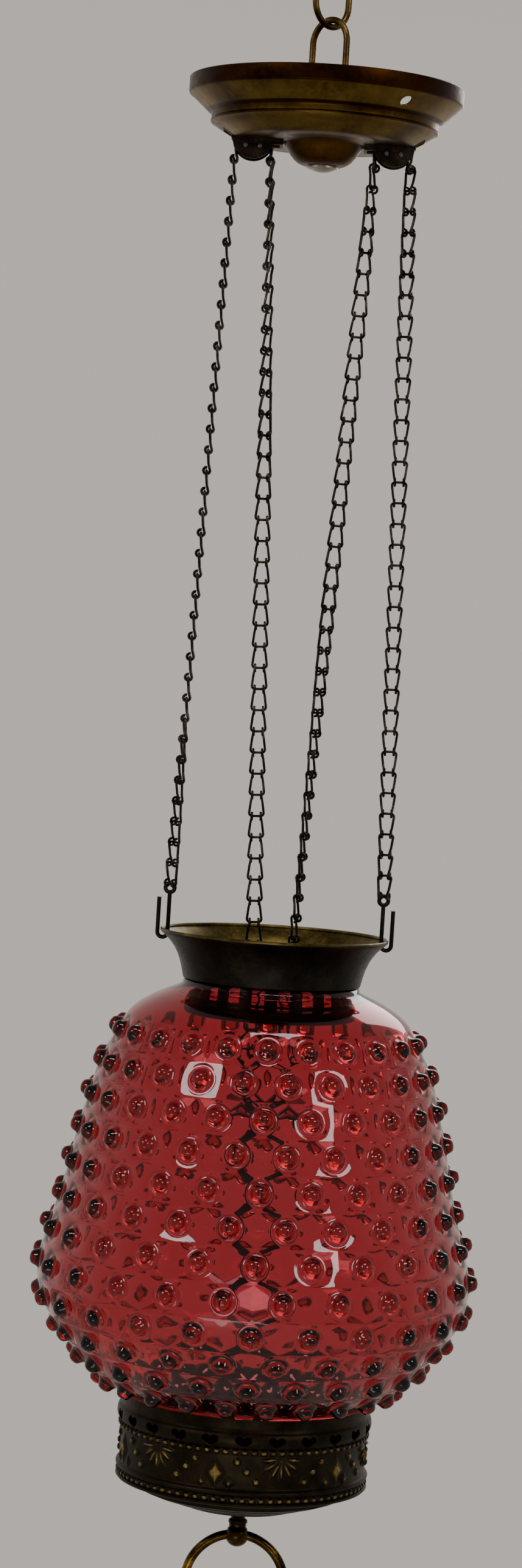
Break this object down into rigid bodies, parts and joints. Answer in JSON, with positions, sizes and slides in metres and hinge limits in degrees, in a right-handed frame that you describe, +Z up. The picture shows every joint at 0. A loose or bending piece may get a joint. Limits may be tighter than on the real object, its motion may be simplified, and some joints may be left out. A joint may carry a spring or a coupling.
{
  "type": "sanctuary lamp",
  "caption": "Hanging pull-down lamp: links, pulley canopy, ladder chains, ruby hobnail glass shade under a flared crown, and a gallery with candle cup and pull ring.",
  "frame": {"origin": "inside top of the upper link, where the lamp hangs on its hook", "axes": "+Z up along the lamp's axis, +X towards the right pulley, the pulleys' pins along Y"},
  "size_m": [0.2548, 0.2548, 0.9677],
  "materials": {
    "spun_brass": "aged spun brass, satin",
    "link_brass": "aged brass wire",
    "iron": "dark oiled iron",
    "plain_brass": "plain brass",
    "nickel": "worn nickel plate",
    "chain_wire": "darkened steel wire",
    "dark_bronze": "dark bronzed brass",
    "antique_brass": "antiqued embossed brass",
    "ring_brass": "polished brass, rubbed",
    "ruby_glass": "polished ruby glass"
  },
  "bodies": {
    "upper_link": {"upper_link": "link_brass"},
    "lower_link": {"lower_link": "link_brass"},
    "canopy": {"eye_bolt": "iron", "lock_nut": "iron", "bridge": "plain_brass", "canopy": "spun_brass", "cap_nut": "nickel", "fork_left": "iron", "fork_right": "iron", "fork_rivets": "plain_brass", "pin_left": "plain_brass", "pin_right": "plain_brass", "chain_left_over": "chain_wire", "chain_right_over": "chain_wire", "chain_left_outer": "chain_wire", "chain_right_outer": "chain_wire", "chain_left_inner": "chain_wire", "chain_right_inner": "chain_wire"},
    "pulley_left": {"pulley_left": "iron"},
    "pulley_right": {"pulley_right": "iron"},
    "shade_lift": {"hook_left": "dark_bronze", "hook_right": "dark_bronze", "crown": "dark_bronze", "finger_ring": "dark_bronze", "shade": "ruby_glass"},
    "holder": {"pierced_band": "antique_brass", "embossed_band": "antique_brass", "pan": "antique_brass", "strap_near": "dark_bronze", "strap_far": "dark_bronze", "strap_rivets": "plain_brass", "tie_plate": "dark_bronze", "strap_ring_near": "chain_wire", "strap_ring_far": "chain_wire", "candle_cup": "plain_brass", "finial": "ring_brass"},
    "pull_ring": {"pull_ring": "ring_brass"}
  },
  "joints": [
    {"name": "link_swing", "type": "hinge", "parent": "upper_link", "child": "lower_link", "pos_m": [0, 0, -0.0403], "axis": [0.7071, 0.7071, 0], "range_deg": [-30, 30]},
    {"name": "canopy_swing", "type": "hinge", "parent": "lower_link", "child": "canopy", "pos_m": [0, 0, -0.0786], "axis": [0.7071, -0.7071, 0], "range_deg": [-30, 30]},
    {"name": "shade_rise", "type": "slide", "parent": "canopy", "child": "shade_lift", "axis": [0, 0, 1], "range_m": [0, 0.25], "deforming": ["chain_left_outer", "chain_right_outer"]},
    {"name": "pull_down", "type": "slide", "parent": "canopy", "child": "holder", "axis": [0, 0, -1], "range_m": [0, 0.25], "deforming": ["chain_left_inner", "chain_right_inner"]},
    {"name": "pulley_left_turn", "type": "hinge", "parent": "canopy", "child": "pulley_left", "pos_m": [-0.04, 0, -0.1063], "axis": [0, 1, 0], "range_deg": [0, 1440]},
    {"name": "pulley_right_turn", "type": "hinge", "parent": "canopy", "child": "pulley_right", "pos_m": [0.04, 0, -0.1063], "axis": [0, 1, 0], "range_deg": [-1440, 0]},
    {"name": "ring_swing", "type": "hinge", "parent": "holder", "child": "pull_ring", "pos_m": [0, 0, -0.9044], "axis": [1, 0, 0], "range_deg": [-80, 80]}
  ],
  "couplings": [
    {"joint": "pull_down", "follows": "shade_rise", "ratio": 1},
    {"joint": "pulley_left_turn", "follows": "shade_rise", "rad_per_m": 100.5},
    {"joint": "pulley_right_turn", "follows": "shade_rise", "rad_per_m": -100.5}
  ]
}
